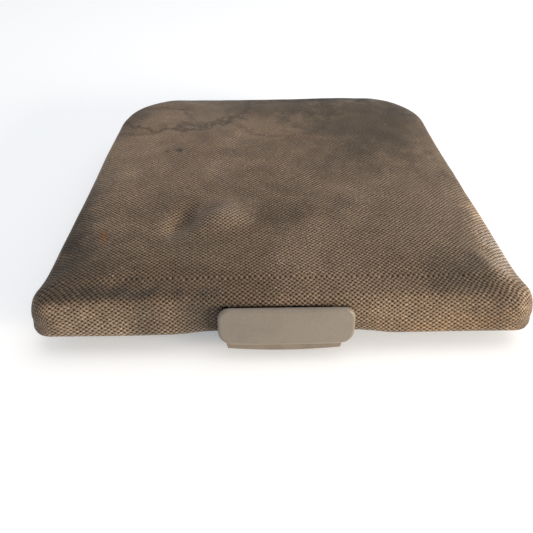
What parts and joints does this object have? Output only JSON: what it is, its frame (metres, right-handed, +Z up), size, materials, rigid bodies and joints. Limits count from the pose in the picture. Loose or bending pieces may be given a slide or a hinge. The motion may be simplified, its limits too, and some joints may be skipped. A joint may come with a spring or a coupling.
{
  "type": "padded console lid armrest",
  "caption": "Cloth-covered padded armrest lid for a storage console, wider at the front, with a sprung finger latch at the front and a hinge with its base bracket at the back.",
  "frame": {"origin": "middle of the closed lid's outline seen from above, on the plane that its skirt and its hinge bracket stand on", "axes": "+X across the lid to the right of a person facing the latch, +Y from the latch towards the hinge, +Z up out of the pad"},
  "size_m": [0.28, 0.2622, 0.042],
  "materials": {
    "cloth": "matte",
    "foam": "matte",
    "shell_plastic": "matte",
    "panel_plastic": "matte",
    "trim_plastic": "satin",
    "hook_plastic": "satin",
    "rubber": "matte",
    "zinc": "satin",
    "zinc_sheet": "satin",
    "steel": "polished",
    "spring_steel": "satin",
    "brass": "satin",
    "nylon": "satin"
  },
  "bodies": {
    "console_bracket": {"hinge_bracket": "zinc_sheet", "hinge_rod": "steel", "rod_clip_left": "steel", "rod_clip_right": "steel"},
    "lid": {"cloth_cover": "cloth", "foam_pad": "foam", "lid_shell": "shell_plastic", "cloth_staples": "zinc", "inner_panel": "panel_plastic", "inner_panel_screws": "zinc", "rim_bumper_front_left": "rubber", "rim_bumper_front_right": "rubber", "rim_bumper_rear_left": "rubber", "rim_bumper_rear_right": "rubber", "latch_housing": "shell_plastic", "latch_housing_screws": "zinc", "latch_pin": "steel", "latch_spring": "spring_steel", "latch_stop_pad_left": "rubber", "latch_stop_pad_right": "rubber", "hinge_leaf": "zinc_sheet", "hinge_leaf_screws": "zinc", "hinge_inserts": "brass", "hinge_bush_1": "nylon", "hinge_bush_2": "nylon", "hinge_bush_3": "nylon", "hinge_bush_4": "nylon"},
    "latch": {"latch_lever": "trim_plastic", "latch_hook_plate": "hook_plastic", "latch_hook_screws": "zinc"}
  },
  "joints": [
    {"name": "lid_hinge", "type": "hinge", "parent": "console_bracket", "child": "lid", "pos_m": [0, 0.12563, 0.0055], "axis": [-1, 0, 0], "range_deg": [0, 95]},
    {"name": "latch_pull", "type": "hinge", "parent": "lid", "child": "latch", "pos_m": [0, -0.11736, 0.026], "axis": [-1, 0, 0], "range_deg": [0, 16], "stiffness_Nm_per_rad": 0.25, "springref_deg": -20.05, "deforming": ["latch_spring"]}
  ]
}
